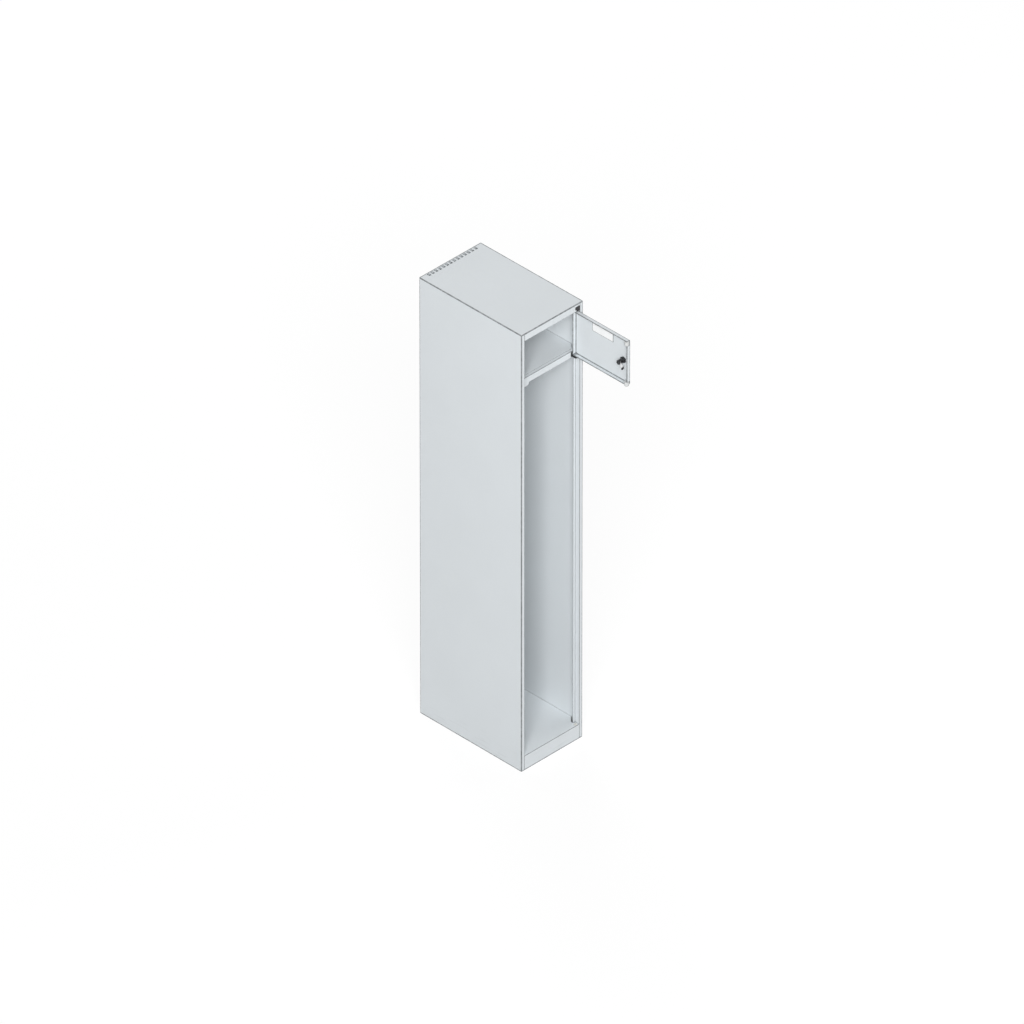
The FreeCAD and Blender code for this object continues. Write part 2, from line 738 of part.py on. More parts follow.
def door_pan():
    """Folded pan with openings for the label, lock and pins, and with two corners cut for the buffers."""
    body = new_body("door_pan")
    sketch = new_sketch(body, "XZ_Plane", -rim)
    rectangle(sketch, free_edge, hinge_edge, door_bottom_z, door_top_z)
    block = pad(body, sketch, size("door_depth"))
    bend_out = size("door_bend")
    corner_out = size("door_corner")
    corners = [(x, 0, z) for x in (free_edge, hinge_edge) for z in (door_bottom_z, door_top_z)]
    rounded = fillet(body, block, ALONG_Y, corners, corner_out)
    rounded = fillet(body, rounded, ALONG_X, [(0, face, door_bottom_z)], bend_out)
    hollow(body, rounded, ALONG_Y, door_gauge)
    openings = new_sketch(body, "XZ_Plane", -face)
    label_rectangle(openings, size("label_lip"))
    circle(openings, lock_x, lock_z, size("lock_barrel_diameter"))
    pocket(body, openings, door_gauge * 2)
    pins = new_sketch(body, "XY_Plane", door_top_z)
    circle(pins, 0, 0, pin)
    pocket(body, pins, door_height)
    notch_z = upper_buffer_z + buffer_dome
    notch_back = buffer_y - size("buffer_notch_diameter") / 2
    notch = new_sketch(body, "YZ_Plane", free_edge)
    rectangle(notch, notch_back, rim + bend_out, notch_z, door_top_z - door_gauge)
    pocket(body, notch, door_gauge * 2, backwards=True)
    notch_round = new_sketch(body, "YZ_Plane", free_edge)
    circle(notch_round, buffer_y, notch_z, size("buffer_notch_diameter"))
    pocket(body, notch_round, door_gauge * 2, backwards=True)
    reach = buffer_radius + fit_gap
    cut_height = size("buffer_height") + fit_gap
    corner = new_sketch(body, "XY_Plane", lower_buffer_z + cut_height)
    rectangle(corner, free_edge - bend_out, buffer_x + reach, buffer_y - reach, rim + bend_out)
    pocket(body, corner, cut_height)
    return put_on_door(body)


def hinge_pin(label, seat_z, tip_z, upwards):
    """Headed pin: its head inside the door, its shank through the edge and into the bearing."""
    body = new_body(label)
    radius = pin / 2
    head = size("pin_head_diameter") / 2
    head_z = seat_z - size("pin_head_height") * upwards
    sketch = new_sketch(body, "XZ_Plane")
    head_outline = [(0, head_z), (head, head_z), (head, seat_z)]
    polygon(sketch, head_outline + [(radius, seat_z), (radius, tip_z), (0, tip_z)])
    revolve(body, sketch)
    return put_on_door(body)


def thrust_washer():
    body = new_body("thrust_washer")
    sketch = new_sketch(body, "XY_Plane", door_bottom_z)
    circle(sketch, 0, 0, size("washer_diameter"))
    circle(sketch, 0, 0, pin)
    pad(body, sketch, size("arm_drop") - fit_gap, backwards=True)
    return put_on_door(body)


def label_bezel():
    """Frame on the door's face with a collar in the window."""
    body = new_body("label_bezel")
    collar_inset = size("label_lip") + fit_gap
    plate = new_sketch(body, "XZ_Plane", -face)
    label_rectangle(plate, 0)
    label_rectangle(plate, size("label_frame"))
    pad(body, plate, size("bezel_thickness"))
    collar = new_sketch(body, "XZ_Plane", -skin)
    label_rectangle(collar, collar_inset)
    label_rectangle(collar, size("label_frame"))
    pad(body, collar, door_gauge)
    return put_on_door(body)


def label_card():
    body = new_body("label_card")
    sketch = new_sketch(body, "XZ_Plane", -skin)
    label_rectangle(sketch, size("label_frame"))
    pad(body, sketch, size("card_thickness"))
    return put_on_door(body)


def label_back_plate():
    body = new_body("label_back_plate")
    sketch = new_sketch(body, "XZ_Plane", -skin)
    label_rectangle(sketch, 0)
    pad(body, sketch, size("label_back_thickness"), backwards=True)
    return put_on_door(body)


def door_buffer(label, low_z):
    """Corner buffer, domed below, on a foot on the door's skin, proud of the free edge and the rim."""
    body = new_body(label)
    sketch = new_sketch(body, "XY_Plane", low_z)
    circle(sketch, buffer_x, buffer_y, size("buffer_diameter"))
    post = pad(body, sketch, size("buffer_height"))
    dome(body, post, low_z, buffer_dome)
    foot = new_sketch(body, "XY_Plane", low_z + buffer_dome + size("door_bend"))
    foot_x = free_edge + size("door_bend")
    rectangle(foot, foot_x, foot_x + size("buffer_foot_length"), skin, buffer_y)
    pad(body, foot, size("buffer_height") - buffer_dome - size("door_bend") * 2)
    return put_on_door(body)


# Lock, drawn on the closed door
def lock_housing():
    body = new_body("lock_housing")
    bore = size("plug_diameter") / 2 + size("plug_clearance")
    head = size("lock_head_diameter") / 2
    barrel = size("lock_barrel_diameter") / 2
    head_front = face - size("lock_head_height")
    sketch = new_sketch(body, "XY_Plane", lock_z, lock_x)
    polygon(sketch, [
        (bore, head_front),
        (head - size("lock_head_height") / 2, head_front),
        (head, face - size("lock_head_height") / 2),
        (head, face),
        (barrel, face),
        (barrel, barrel_end),
        (bore, barrel_end),
    ])
    revolve(body, sketch)
    return put_on_door(body)


def lock_nut():
    body = new_body("lock_nut")
    sketch = new_sketch(body, "XZ_Plane")
    hexagon(sketch, size("nut_width"))
    circle(sketch, 0, 0, size("lock_barrel_diameter"))
    pad(body, sketch, size("nut_thickness"), backwards=True)
    return put_on_lock(body, skin)


def put_on_lock(body, along):
    """Place a piece drawn round the lock's axis, at a distance along it behind the hinge axis."""
    body.Placement.Rotation = FreeCAD.Rotation(ALONG_Z, sheet.door_open_angle)
    turn = "Sizes.door_open_angle * 1 deg"
    place_x = as_size(lock_x).text
    place_y = as_size(along).text
    turned_x = f"{place_x} * cos({turn}) - {place_y} * sin({turn})"
    turned_y = f"{place_x} * sin({turn}) + {place_y} * cos({turn})"
    body.setExpression("Placement.Base.x", f"{pivot_x.text} + {turned_x}")
    body.setExpression("Placement.Base.y", f"{pivot_y.text} + {turned_y}")
    bind(body, "Placement.Base.z", lock_z)
    bind(body, "Placement.Rotation.Angle", size("door_open_angle"))
    return body


def turned_sketch(body, along):
    """A sketch across the lock's axis, drawn with the cam hanging and turned as the cam stands."""
    sketch = new_sketch(body, "XZ_Plane", -along)
    clockwise = Vector(0, 0, -1)
    offset = sketch.AttachmentOffset
    offset.Rotation = FreeCAD.Rotation(clockwise, sheet.cam_rest_angle)
    sketch.AttachmentOffset = offset
    bind(sketch, "AttachmentOffset.Rotation.Angle", size("cam_rest_angle"))
    return sketch


def lock_plug():
    """Turning plug: a key slot in front, upright when locked, and a square tail that drives the cam."""
    body = new_body("lock_plug")
    front = face - size("lock_head_height") + size("plug_recess")
    disc = new_sketch(body, "XZ_Plane", -front)
    circle(disc, 0, 0, size("plug_diameter"))
    pad(body, disc, cam_front - front, backwards=True)
    tail = turned_sketch(body, cam_front)
    half = size("tail_width") / 2
    rectangle(tail, -half, half, -half, half)
    pad(body, tail, size("cam_thickness"), backwards=True)
    slot = turned_sketch(body, front)
    half_width = size("key_slot_width") / 2
    half_height = size("key_slot_height") / 2
    rectangle(slot, -half_height, half_height, -half_width, half_width)
    pocket(body, slot, size("key_slot_depth"))
    thread = new_sketch(body, "XZ_Plane", -cam_back)
    circle(thread, 0, 0, size("bolt_diameter"))
    pocket(body, thread, size("bolt_length"), backwards=True)
    return put_on_lock(body, 0)


def lock_cam():
    """Blade round at both ends, with a hook at its tip that points down when locked."""
    body = new_body("lock_cam")
    half = size("cam_width") / 2
    tip = half - size("cam_length")
    blade = turned_sketch(body, cam_front)
    rectangle(blade, -half, half, tip, 0)
    pad(body, blade, size("cam_thickness"), backwards=True)
    for end in (0, tip):
        round_end = turned_sketch(body, cam_front)
        circle(round_end, 0, end, size("cam_width"))
        pad(body, round_end, size("cam_thickness"), backwards=True)
    hook_half = size("cam_hook_height") / 2
    hook_low = -size("cam_length")
    hook_end = size("cam_hook_reach") - hook_half
    hook = turned_sketch(body, cam_front)
    rectangle(hook, 0, hook_end, hook_low, hook_low + size("cam_hook_height"))
    pad(body, hook, size("cam_thickness"), backwards=True)
    hook_round = turned_sketch(body, cam_front)
    circle(hook_round, hook_end, hook_low + hook_half, size("cam_hook_height"))
    pad(body, hook_round, size("cam_thickness"), backwards=True)
    square = turned_sketch(body, cam_front)
    half_tail = size("tail_width") / 2
    rectangle(square, -half_tail, half_tail, -half_tail, half_tail)
    pocket(body, square, size("cam_thickness"))
    return put_on_lock(body, 0)


def cam_bolt():
    body = new_body("cam_bolt")
    head = turned_sketch(body, cam_back)
    hexagon(head, size("bolt_head_width"))
    pad(body, head, size("bolt_head_height"), backwards=True)
    shank = new_sketch(body, "XZ_Plane", -cam_back)
    circle(shank, 0, 0, size("bolt_diameter"))
    pad(body, shank, size("bolt_length"))
    return put_on_lock(body, 0)


pieces = [
    side_panel("left_side_panel", -1),
    side_panel("right_side_panel", 1),
    back_panel(),
    top_panel(),
    header_rail(),
    floor_panel(),
    shelf_panel(),
    cross_rail(),
    upper_pivot_block(),
    lower_pivot_bearing(),
    floor_pivot_bush(),
    clothes_rail(),
    rail_socket("left_rail_socket", -1),
    rail_socket("right_rail_socket", 1),
    door_pan(),
    hinge_pin("upper_hinge_pin", door_top_z - door_gauge, header_z + size("pin_reach"), 1),
    hinge_pin("lower_hinge_pin", door_bottom_z + door_gauge, door_bottom_z - size("pin_reach"), -1),
    thrust_washer(),
    label_bezel(),
    label_card(),
    label_back_plate(),
    door_buffer("upper_door_buffer", upper_buffer_z),
    door_buffer("lower_door_buffer", lower_buffer_z),
    lock_housing(),
    lock_nut(),
    lock_plug(),
    lock_cam(),
    cam_bolt(),
]
doc.recompute()

for item in doc.Objects:
    if "Invalid" in item.State or "Error" in item.State:
        raise RuntimeError(f"{item.Name} of {item.Label} failed: {item.State}")
for piece in pieces:
    if piece.Shape.isNull() or not piece.Shape.isValid():
        raise RuntimeError(f"{piece.Label} has no valid shape")

os.makedirs("parts", exist_ok=True)
for piece in pieces:
    piece.Shape.exportStep(os.path.join("parts", f"{piece.Label}.step"))
    box = piece.Shape.BoundBox
    print(piece.Label, len(piece.Shape.Solids), round(piece.Shape.Volume), box)
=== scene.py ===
"""Looks of the steel wardrobe locker: powder coat, plastics, plated steel, studio light and camera."""
import json
import math

import bmesh
import bpy
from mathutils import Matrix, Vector


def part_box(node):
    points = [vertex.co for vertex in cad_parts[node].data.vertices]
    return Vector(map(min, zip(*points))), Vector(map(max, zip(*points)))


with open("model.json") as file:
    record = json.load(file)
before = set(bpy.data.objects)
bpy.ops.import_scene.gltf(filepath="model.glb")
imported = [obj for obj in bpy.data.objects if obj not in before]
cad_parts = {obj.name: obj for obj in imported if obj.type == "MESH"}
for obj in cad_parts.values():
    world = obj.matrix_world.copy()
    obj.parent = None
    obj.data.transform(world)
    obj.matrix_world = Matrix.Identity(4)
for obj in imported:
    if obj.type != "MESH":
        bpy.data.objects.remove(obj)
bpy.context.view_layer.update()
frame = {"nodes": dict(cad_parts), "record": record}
scene = bpy.context.scene


def linear(red, green, blue):
    """Display values of a colour, 0 to 255, as linear light with full cover."""
    shares = [value / 255 for value in (red, green, blue)]
    return (*[((s + 0.055) / 1.055) ** 2.4 if s > 0.04045 else s / 12.92 for s in shares], 1.0)


# Limits for reading nearness, sharp edges and bends off a surface
CLOSENESS_SAMPLES = 8
SHUT_IN = 0.05
OPEN_AIR = 0.75
SHARPNESS_SAMPLES = 6
EDGE_MIDDLE = 0.8
EDGE_LIMIT = 0.96
BEND_MIDDLE = 0.93
BEND_LIMIT = 0.985


class Finish:
    """A surface finish with short calls for its nodes; lengths are metres in the object's own space."""

    def __init__(self, name):
        self.material = bpy.data.materials.new(name)
        self.material.use_nodes = True
        self.nodes = self.material.node_tree.nodes
        self.links = self.material.node_tree.links
        self.shader = self.nodes["Principled BSDF"]
        self.place = self.nodes.new("ShaderNodeTexCoord").outputs["Object"]

    def feed(self, socket, value):
        """Puts a number, a colour or another node's output on a socket."""
        if isinstance(value, bpy.types.NodeSocket):
            self.links.new(value, socket)
        else:
            socket.default_value = value

    def scaled(self, stretch):
        """The object's own space, scaled along each axis."""
        node = self.nodes.new("ShaderNodeMapping")
        self.links.new(self.place, node.inputs["Vector"])
        node.inputs["Scale"].default_value = stretch
        return node.outputs["Vector"]

    def noise(self, size, detail=2.0, stretch=(1, 1, 1)):
        """Soft random values with blobs about that long."""
        node = self.nodes.new("ShaderNodeTexNoise")
        self.links.new(self.scaled(stretch), node.inputs["Vector"])
        node.inputs["Scale"].default_value = 1 / size
        node.inputs["Detail"].default_value = detail
        return node.outputs["Fac"]

    def spread(self, value, low, high, to_low, to_high):
        """Maps low..high to to_low..to_high, held at the ends."""
        node = self.nodes.new("ShaderNodeMapRange")
        self.feed(node.inputs["Value"], value)
        limits = {"From Min": low, "From Max": high, "To Min": to_low, "To Max": to_high}
        for name, number in limits.items():
            node.inputs[name].default_value = number
        return node.outputs["Result"]

    def math(self, operation, first, second=0.0):
        node = self.nodes.new("ShaderNodeMath")
        node.operation = operation
        self.feed(node.inputs[0], first)
        self.feed(node.inputs[1], second)
        return node.outputs["Value"]

    def mix(self, share, first, second, blend="MIX"):
        node = self.nodes.new("ShaderNodeMix")
        node.data_type = "RGBA"
        node.blend_type = blend
        self.feed(node.inputs["Factor"], share)
        self.feed(node.inputs["A"], first)
        self.feed(node.inputs["B"], second)
        return node.outputs["Result"]

    def bump(self, height, depth, strength=1.0, under=None):
        node = self.nodes.new("ShaderNodeBump")
        node.inputs["Distance"].default_value = depth
        node.inputs["Strength"].default_value = strength
        self.links.new(height, node.inputs["Height"])
        if under is not None:
            self.links.new(under, node.inputs["Normal"])
        return node.outputs["Normal"]

    def closeness(self, reach, strongest):
        """Rises from nought to the strongest value where other surfaces lie within reach; used to lay
        painted shade into corners and joints.
        """
        node = self.nodes.new("ShaderNodeAmbientOcclusion")
        node.samples = CLOSENESS_SAMPLES
        node.inputs["Distance"].default_value = reach
        return self.spread(node.outputs["AO"], SHUT_IN, OPEN_AIR, strongest, 0.0)

    def sharpness(self, reach):
        """One on sharp edges, falling to nought within reach of them."""
        rounded = self.nodes.new("ShaderNodeBevel")
        rounded.samples = SHARPNESS_SAMPLES
        rounded.inputs["Radius"].default_value = reach
        flat = self.nodes.new("ShaderNodeNewGeometry").outputs["Normal"]
        compare = self.nodes.new("ShaderNodeVectorMath")
        compare.operation = "DOT_PRODUCT"
        self.links.new(rounded.outputs["Normal"], compare.inputs[0])
        self.links.new(flat, compare.inputs[1])
        return self.spread(compare.outputs["Value"], EDGE_MIDDLE, EDGE_LIMIT, 1.0, 0.0)

    def folded(self):
        """One on the bends between the flat sides of a sheet, which all lie square to the axes."""
        facing = self.nodes.new("ShaderNodeVectorMath")
        facing.operation = "ABSOLUTE"
        self.links.new(self.place.node.outputs["Normal"], facing.inputs[0])
        parts = self.nodes.new("ShaderNodeSeparateXYZ")
        self.links.new(facing.outputs["Vector"], parts.inputs["Vector"])
        level = self.math("MAXIMUM", parts.outputs["X"], parts.outputs["Y"])
        squareness = self.math("MAXIMUM", level, parts.outputs["Z"])
        return self.spread(squareness, BEND_MIDDLE, BEND_LIMIT, 1.0, 0.0)

    def axis(self, name):
        """One coordinate in the object's own space."""
        node = self.nodes.new("ShaderNodeSeparateXYZ")
        self.links.new(self.place, node.inputs["Vector"])
        return node.outputs[name]

    def done(self, **inputs):
        """Feeds the shader's sockets and gives the finished material."""
        for name, value in inputs.items():
            self.feed(self.shader.inputs[name.replace("_", " ")], value)
        return self.material


def dimmed(base, share):
    """The base colour at a share of its brightness."""
    return tuple(value * share for value in base[:3]) + (1.0,)


def tinted(finish, base, speckle_size, share, cloud_size, cloud_share):
    """The base colour with a fine speckle and slow clouds, both a few percent up and down."""
    speckle = finish.spread(finish.noise(speckle_size, 1.0), 0.3, 0.7, 0.0, 1.0)
    low = dimmed(base, 1 - share)
    high = tuple(min(1.0, value * (1 + share)) for value in base[:3]) + (1.0,)
    fine = finish.mix(speckle, low, high)
    cloud = finish.spread(finish.noise(cloud_size, 3.0), 0.3, 0.7, 1 - cloud_share, 1.0)
    return finish.mix(1.0, fine, cloud, "MULTIPLY")


PAINT_COLOUR = linear(214, 219, 222)
PAINT_SHEEN = 0.18
WORN_COLOUR = linear(88, 92, 94)
WORN_SHARE = 0.9
# colour of the painted shade laid into the seams between the painted sheets
SEAM_SHADE_COLOUR = linear(92, 96, 98)
SCUFF_COLOUR = linear(150, 152, 152)
# dark colour for the painted shade in the joints of the plastics and for the dirt on their sharp edges
JOINT_SHADE_AND_EDGE_DIRT_COLOUR = linear(48, 48, 48)
SCUFF_HEIGHT = 0.09
SCUFF_SHARE = 0.2
SEAM_SHADE_REACH = 0.01
SEAM_SHADE_SHARE = 0.75
JOINT_SHADE_REACH = 0.004
JOINT_SHADE_SHARE = 0.8
EDGE_WIDTH = 0.0045
EDGE_CORE = 0.45 * EDGE_WIDTH
EDGE_BREAK_SIZE = 0.012
CUT_EDGE_REACH = 0.0016
PLATE_LINE = 0.0028
PLATE_LINE_CORE = 0.7 * PLATE_LINE
HALF_DOOR_SKIN = 0.0005


def edge_wear(finish, low, high):
    """One on the outer folds of a sheet box with these corners, broken up along them."""
    gaps = []
    for name, first, last in zip("XYZ", low, high):
        middle = (first + last) / 2
        offset = finish.math("ABSOLUTE", finish.math("SUBTRACT", finish.axis(name), middle))
        gaps.append(finish.math("SUBTRACT", (last - first) / 2, offset))
    nearer = finish.math("MINIMUM", gaps[0], gaps[1])
    farther = finish.math("MAXIMUM", gaps[0], gaps[1])
    second = finish.math("MAXIMUM", nearer, finish.math("MINIMUM", farther, gaps[2]))
    band = finish.spread(second, EDGE_CORE, EDGE_WIDTH, 1.0, 0.0)
    broken = finish.spread(finish.noise(EDGE_BREAK_SIZE, 5.0), 0.36, 0.6, 0.62, 1.0)
    return finish.math("MULTIPLY", band, broken)


def dirt_round_plate(finish, low, high):
    """One in a narrow line round the plate with these corners, on the door's inner side."""
    gaps = []
    for name, first, last in (("Y", low[1], high[1]), ("Z", low[2], high[2])):
        middle = (first + last) / 2
        offset = finish.math("ABSOLUTE", finish.math("SUBTRACT", finish.axis(name), middle))
        gaps.append(finish.math("SUBTRACT", offset, (last - first) / 2))
    gap = finish.math("MAXIMUM", gaps[0], gaps[1])
    line = finish.spread(gap, PLATE_LINE_CORE, PLATE_LINE, 1.0, 0.0)
    inner_side = finish.math("LESS_THAN", finish.axis("X"), high[0] + HALF_DOOR_SKIN)
    return finish.math("MULTIPLY", line, inner_side)


def powder_coat(name, low, high, plate=None):
    """Light grey powder coat with orange peel, a slow wave of the sheet, worn folds and painted shade
    darkening the seams.
    """
    finish = Finish(name)
    colour = tinted(finish, PAINT_COLOUR, speckle_size=0.0011, share=0.018,
                    cloud_size=0.22, cloud_share=0.02)
    cut = finish.math("MAXIMUM", edge_wear(finish, low, high), finish.sharpness(CUT_EDGE_REACH))
    worn = finish.math("MAXIMUM", cut, finish.folded())
    colour = finish.mix(finish.math("MULTIPLY", worn, WORN_SHARE), colour, WORN_COLOUR)
    if plate is not None:
        colour = finish.mix(dirt_round_plate(finish, *plate), colour, WORN_COLOUR)
    near_ground = finish.spread(finish.axis("Z"), 0.0, SCUFF_HEIGHT, 1.0, 0.0)
    marks = finish.noise(0.02, detail=4.0, stretch=(0.25, 0.25, 3.0))
    streaks = finish.spread(marks, 0.56, 0.72, 0.0, SCUFF_SHARE)
    colour = finish.mix(finish.math("MULTIPLY", near_ground, streaks), colour, SCUFF_COLOUR)
    # painted shade: the coat is darkened where other surfaces lie close, in corners and seams between
    # panels
    colour = finish.mix(finish.closeness(SEAM_SHADE_REACH, SEAM_SHADE_SHARE), colour, SEAM_SHADE_COLOUR)
    gloss = finish.spread(finish.noise(0.016, 3.0), 0.3, 0.7, 0.54, 0.6)
    wave = finish.bump(finish.noise(0.19, detail=1.0), depth=0.0012, strength=0.35)
    peel = finish.bump(finish.noise(0.0016, detail=1.5), depth=0.00006, strength=0.6, under=wave)
    finish.done(Specular_IOR_Level=PAINT_SHEEN)
    return finish.done(Base_Color=colour, Roughness=gloss, Normal=peel)


def moulded(name, base, grain, rough_low, rough_high, share=0.05, edge_dirt=0.0):
    """Moulded plastic with a fine spark-eroded grain, painted shade darkening the joints, and dirt on
    handled edges.
    """
    finish = Finish(name)
    colour = tinted(finish, base, speckle_size=0.0012, share=share, cloud_size=0.02, cloud_share=0.04)
    # painted shade: the plastic is darkened where other surfaces lie close, in its joints
    colour = finish.mix(finish.closeness(JOINT_SHADE_REACH, JOINT_SHADE_SHARE), colour, JOINT_SHADE_AND_EDGE_DIRT_COLOUR)
    if edge_dirt > 0:
        edge = finish.math("MULTIPLY", finish.sharpness(CUT_EDGE_REACH), edge_dirt)
        colour = finish.mix(edge, colour, JOINT_SHADE_AND_EDGE_DIRT_COLOUR)
    gloss = finish.spread(finish.noise(0.004, 3.0), 0.3, 0.7, rough_low, rough_high)
    surface = finish.bump(finish.noise(grain), depth=grain * 0.12, strength=0.7)
    return finish.done(Base_Color=colour, Roughness=gloss, Normal=surface)


def plated(name, base, stretch, grain, rough_low, rough_high):
    """Plated steel with drawn or rolled streaks along one direction."""
    finish = Finish(name)
    streak = finish.spread(finish.noise(grain, 3.0, stretch), 0.25, 0.75, 0.0, 1.0)
    low = dimmed(base, 0.86)
    colour = finish.mix(streak, low, base)
    gloss = finish.spread(finish.noise(0.006, 3.0), 0.3, 0.7, rough_low, rough_high)
    surface = finish.bump(finish.noise(grain, stretch=stretch), depth=grain * 0.06, strength=0.6)
    return finish.done(Base_Color=colour, Roughness=gloss, Normal=surface, Metallic=1.0)


LOCK_AXIS_Y = -0.467
LOCK_AXIS_Z = 1.72
TURNING_PITCH = 0.00035
DARK_END_START = 0.0215
DARK_END_FADE = 0.0003
# colour and reach of the dark hook end of the lock cam
DARK_END_COLOUR = linear(30, 30, 32)


def lock_radius(finish):
    """Distance from the lock's axis."""
    across = finish.math("SUBTRACT", finish.axis("Y"), LOCK_AXIS_Y)
    up = finish.math("SUBTRACT", finish.axis("Z"), LOCK_AXIS_Z)
    across_square = finish.math("MULTIPLY", across, across)
    up_square = finish.math("MULTIPLY", up, up)
    return finish.math("SQRT", finish.math("ADD", across_square, up_square))


def dark_ended_cam(name, base):
    """Bright satin zinc, with the hook end made dark from a set distance off the lock axis outwards."""
    finish = Finish(name)
    end_wobble = finish.spread(finish.noise(0.003, 3.0), 0.3, 0.7, 0.0, 0.0008)
    ragged = finish.math("ADD", lock_radius(finish), end_wobble)
    # the cam turns dark beyond a set distance from the lock axis, with a slightly ragged border
    dark_end = finish.spread(ragged, DARK_END_START, DARK_END_START + DARK_END_FADE, 0.0, 1.0)
    streak = finish.noise(0.0015, detail=3.0, stretch=(1, 0.3, 0.12))
    low = dimmed(base, 0.9)
    plate = finish.mix(finish.spread(streak, 0.3, 0.7, 0.0, 1.0), low, base)
    colour = finish.mix(dark_end, plate, DARK_END_COLOUR)
    metal = finish.spread(dark_end, 0.0, 1.0, 0.35, 0.0)
    plate_gloss = finish.spread(streak, 0.3, 0.7, 0.36, 0.48)
    gloss = finish.math("ADD", plate_gloss, finish.math("MULTIPLY", dark_end, 0.12))
    surface = finish.bump(streak, depth=0.00008, strength=0.5)
    return finish.done(Base_Color=colour, Roughness=gloss, Normal=surface, Metallic=metal)


def turned_face(name, base):
    """Nickel-plated brass with fine rings from the lathe round the lock axis."""
    finish = Finish(name)
    phase = finish.math("MULTIPLY", lock_radius(finish), 2 * math.pi / TURNING_PITCH)
    rings = finish.spread(finish.math("SINE", phase), -1.0, 1.0, 0.0, 1.0)
    worn = finish.spread(finish.noise(0.003, 4.0), 0.35, 0.7, 0.0, 1.0)
    low = dimmed(base, 0.8)
    colour = finish.mix(worn, low, base)
    gloss = finish.spread(worn, 0.0, 1.0, 0.22, 0.38)
    surface = finish.bump(rings, depth=0.00002, strength=0.5)
    return finish.done(Base_Color=colour, Roughness=gloss, Normal=surface, Metallic=1.0)


CARD_DARK = linear(222, 220, 213)
CARD_LIGHT = linear(234, 233, 228)


def card_stock():
    """Bare card behind the label window, with paper fibres."""
    finish = Finish("card_stock")
    threads = finish.noise(0.0012, detail=5.0, stretch=(1.0, 0.25, 1.0))
    fibres = finish.spread(threads, 0.35, 0.65, 0.0, 1.0)
    colour = finish.mix(fibres, CARD_DARK, CARD_LIGHT)
    surface = finish.bump(fibres, depth=0.00004, strength=0.5)
    gloss = finish.spread(fibres, 0.0, 1.0, 0.75, 0.9)
    return finish.done(Base_Color=colour, Roughness=gloss, Normal=surface)


CABINET_LOW = (-0.15, -0.25, 0.0)
CABINET_HIGH = (0.15, 0.25, 1.85)
# Grain sizes of the plastics and metals, metres
MOULD_GRAIN = 0.0009
SOFT_GRAIN = 0.0014
LABEL_GRAIN = 0.0011
LOCK_GRAIN = 0.0007
TUBE_GRAIN = 0.0012
PLATE_GRAIN = 0.0016
ALONG_TUBE = (0.02, 1, 1)
ALONG_PIN = (1, 0.3, 0.12)

paint = powder_coat("cabinet_paint", CABINET_LOW, CABINET_HIGH)
door_paint = powder_coat("door_paint", *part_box("door_pan"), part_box("label_back_plate"))
black_plastic = moulded("black_plastic", linear(34, 34, 36), MOULD_GRAIN, 0.42, 0.56)
socket_plastic = moulded("socket_plastic", linear(120, 123, 125), MOULD_GRAIN, 0.4, 0.54)
rail_steel = plated("rail_steel", linear(205, 207, 209), ALONG_TUBE, TUBE_GRAIN, 0.14, 0.26)
zinc = plated("zinc", linear(206, 208, 210), ALONG_PIN, PLATE_GRAIN, 0.26, 0.42)
nylon = moulded("nylon", linear(214, 214, 209), SOFT_GRAIN, 0.36, 0.48, 0.02)
BUFFER_COLOUR = linear(198, 200, 200)
buffer_plastic = moulded("buffer_plastic", BUFFER_COLOUR, SOFT_GRAIN, 0.34, 0.46, 0.015, edge_dirt=0.6)
label_plastic = moulded("label_plastic", linear(247, 248, 248), LABEL_GRAIN, 0.3, 0.42, 0.015)
bezel_plastic = moulded("bezel_plastic", linear(204, 206, 207), LABEL_GRAIN, 0.36, 0.48, 0.02)
card = card_stock()
lock_dark = moulded("lock_dark", linear(42, 43, 45), LOCK_GRAIN, 0.26, 0.4)
lock_metal = turned_face("lock_metal", linear(214, 209, 200))
cam_metal = dark_ended_cam("cam_metal", linear(240, 241, 242))

FINISHES = {
    "paint": paint,
    "black_plastic": black_plastic,
    "socket_plastic": socket_plastic,
    "rail_steel": rail_steel,
    "zinc": zinc,
    "washer_plastic": nylon,
    "label_plastic": label_plastic,
    "card": card,
    "buffer_plastic": buffer_plastic,
    "lock_dark": lock_dark,
    "lock_plug": lock_metal,
}

for row in frame["record"]["subparts"]:
    node = frame["nodes"][row["node"]]
    for place in node.material_slots:
        place.material = FINISHES[row["material_slot"]]
OWN_FINISHES = {"door_pan": door_paint, "lock_cam": cam_metal, "label_bezel": bezel_plastic}
for node_name, own_finish in OWN_FINISHES.items():
    for place in frame["nodes"][node_name].material_slots:
        place.material = own_finish

FLOOR_RADIUS = 150
FLOOR_SIDES = 96
FLOOR_COLOUR = (0.6, 0.6, 0.6, 1.0)
FLOOR_WHITE_SHARE = 0.78
FLOOR_WHITE_LEVEL = 1.12


def seen_directly(nodes, links):
    """A value of one for rays from the eye, a mirror or glass."""
    path = nodes.new("ShaderNodeLightPath")
    first = nodes.new("ShaderNodeMath")
    first.operation = "MAXIMUM"
    links.new(path.outputs["Is Camera Ray"], first.inputs[0])
    links.new(path.outputs["Is Glossy Ray"], first.inputs[1])
    second = nodes.new("ShaderNodeMath")
    second.operation = "MAXIMUM"
    links.new(first.outputs["Value"], second.inputs[0])
    links.new(path.outputs["Is Transmission Ray"], second.inputs[1])
    return second.outputs["Value"]


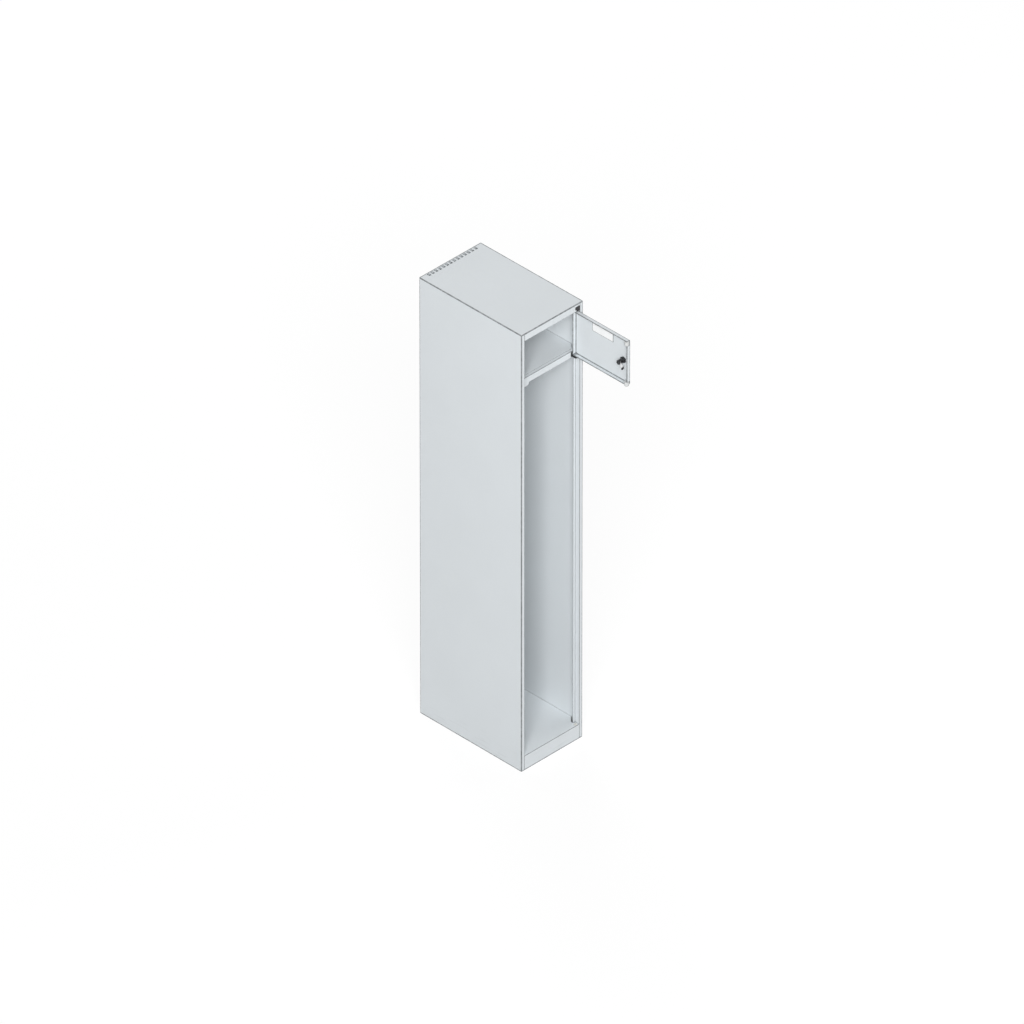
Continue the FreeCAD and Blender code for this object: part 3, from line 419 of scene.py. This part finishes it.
def floor_finish():
    """Pale plain floor that takes the shadow and otherwise shows white."""
    material = bpy.data.materials.new("studio_floor")
    material.use_nodes = True
    nodes = material.node_tree.nodes
    links = material.node_tree.links
    nodes.clear()
    matt = nodes.new("ShaderNodeBsdfDiffuse")
    matt.inputs["Color"].default_value = FLOOR_COLOUR
    white = nodes.new("ShaderNodeEmission")
    white.inputs["Strength"].default_value = FLOOR_WHITE_LEVEL
    share = nodes.new("ShaderNodeMath")
    share.operation = "MULTIPLY"
    links.new(seen_directly(nodes, links), share.inputs[0])
    share.inputs[1].default_value = FLOOR_WHITE_SHARE
    both = nodes.new("ShaderNodeMixShader")
    links.new(share.outputs["Value"], both.inputs["Fac"])
    links.new(matt.outputs["BSDF"], both.inputs[1])
    links.new(white.outputs["Emission"], both.inputs[2])
    out = nodes.new("ShaderNodeOutputMaterial")
    links.new(both.outputs["Shader"], out.inputs["Surface"])
    return material


def make_floor():
    """A wide round floor at the object's foot."""
    mesh = bpy.data.meshes.new("studio_floor")
    disc = bmesh.new()
    bmesh.ops.create_circle(disc, cap_ends=True, segments=FLOOR_SIDES, radius=FLOOR_RADIUS)
    disc.to_mesh(mesh)
    disc.free()
    floor = bpy.data.objects.new("studio_floor", mesh)
    scene.collection.objects.link(floor)
    mesh.materials.append(floor_finish())


SKY_LEVEL = 0.15


def make_sky():
    """White where it is seen, and an even soft light from all round."""
    world = bpy.data.worlds.new("studio")
    scene.world = world
    world.use_nodes = True
    nodes = world.node_tree.nodes
    links = world.node_tree.links
    level = nodes.new("ShaderNodeMapRange")
    links.new(seen_directly(nodes, links), level.inputs["Value"])
    level.inputs["To Min"].default_value = SKY_LEVEL
    level.inputs["To Max"].default_value = 1.0
    background = nodes["Background"]
    background.inputs["Color"].default_value = (1.0, 1.0, 1.0, 1.0)
    links.new(level.outputs["Result"], background.inputs["Strength"])


LAMP_AIM = Vector((0.0, -0.1, 0.95))


def soft_box(name, azimuth, elevation, distance, side, power):
    """A square soft lamp; azimuth nought is straight in front, and left of it is negative."""
    turn = math.radians(azimuth)
    rise = math.radians(elevation)
    level = math.cos(rise)
    towards = Vector((math.sin(turn) * level, -math.cos(turn) * level, math.sin(rise)))
    lamp = bpy.data.lights.new(name, "AREA")
    lamp.shape = "SQUARE"
    lamp.size = side
    lamp.energy = power
    piece = bpy.data.objects.new(name, lamp)
    scene.collection.objects.link(piece)
    piece.location = LAMP_AIM + towards * distance
    piece.rotation_mode = "QUATERNION"
    piece.rotation_quaternion = (-towards).to_track_quat("-Z", "Y")


# The view of the drawing: from the front left and above, with one scale along all three edges
LENS = 1000
SENSOR_WIDTH = 36
NEAR_LIMIT = 1.0
FAR_LIMIT = 400
VIEW_BACK = Vector((-1, -1, 1)).normalized()
VIEW_DISTANCE = 98.727
VIEW_AIM = Vector((0.02852, -0.02494, 0.90628))


def make_camera():
    """The main camera, far off with a long lens."""
    lens = bpy.data.cameras.new("camera")
    lens.type = "PERSP"
    lens.sensor_width = SENSOR_WIDTH
    lens.lens = LENS
    lens.clip_start = NEAR_LIMIT
    lens.clip_end = FAR_LIMIT
    camera = bpy.data.objects.new("camera", lens)
    scene.collection.objects.link(camera)
    camera.location = VIEW_AIM + VIEW_BACK * VIEW_DISTANCE
    camera.rotation_mode = "QUATERNION"
    camera.rotation_quaternion = (-VIEW_BACK).to_track_quat("-Z", "Y")
    scene.camera = camera


scene.view_settings.view_transform = "Standard"
make_floor()
make_sky()
soft_box("key", azimuth=-45, elevation=33, distance=16.0, side=7.2, power=2800)
soft_box("right_fill", azimuth=74, elevation=20, distance=7.0, side=3.0, power=105)
soft_box("back_fill", azimuth=150, elevation=32, distance=8.0, side=3.6, power=235)
make_camera()
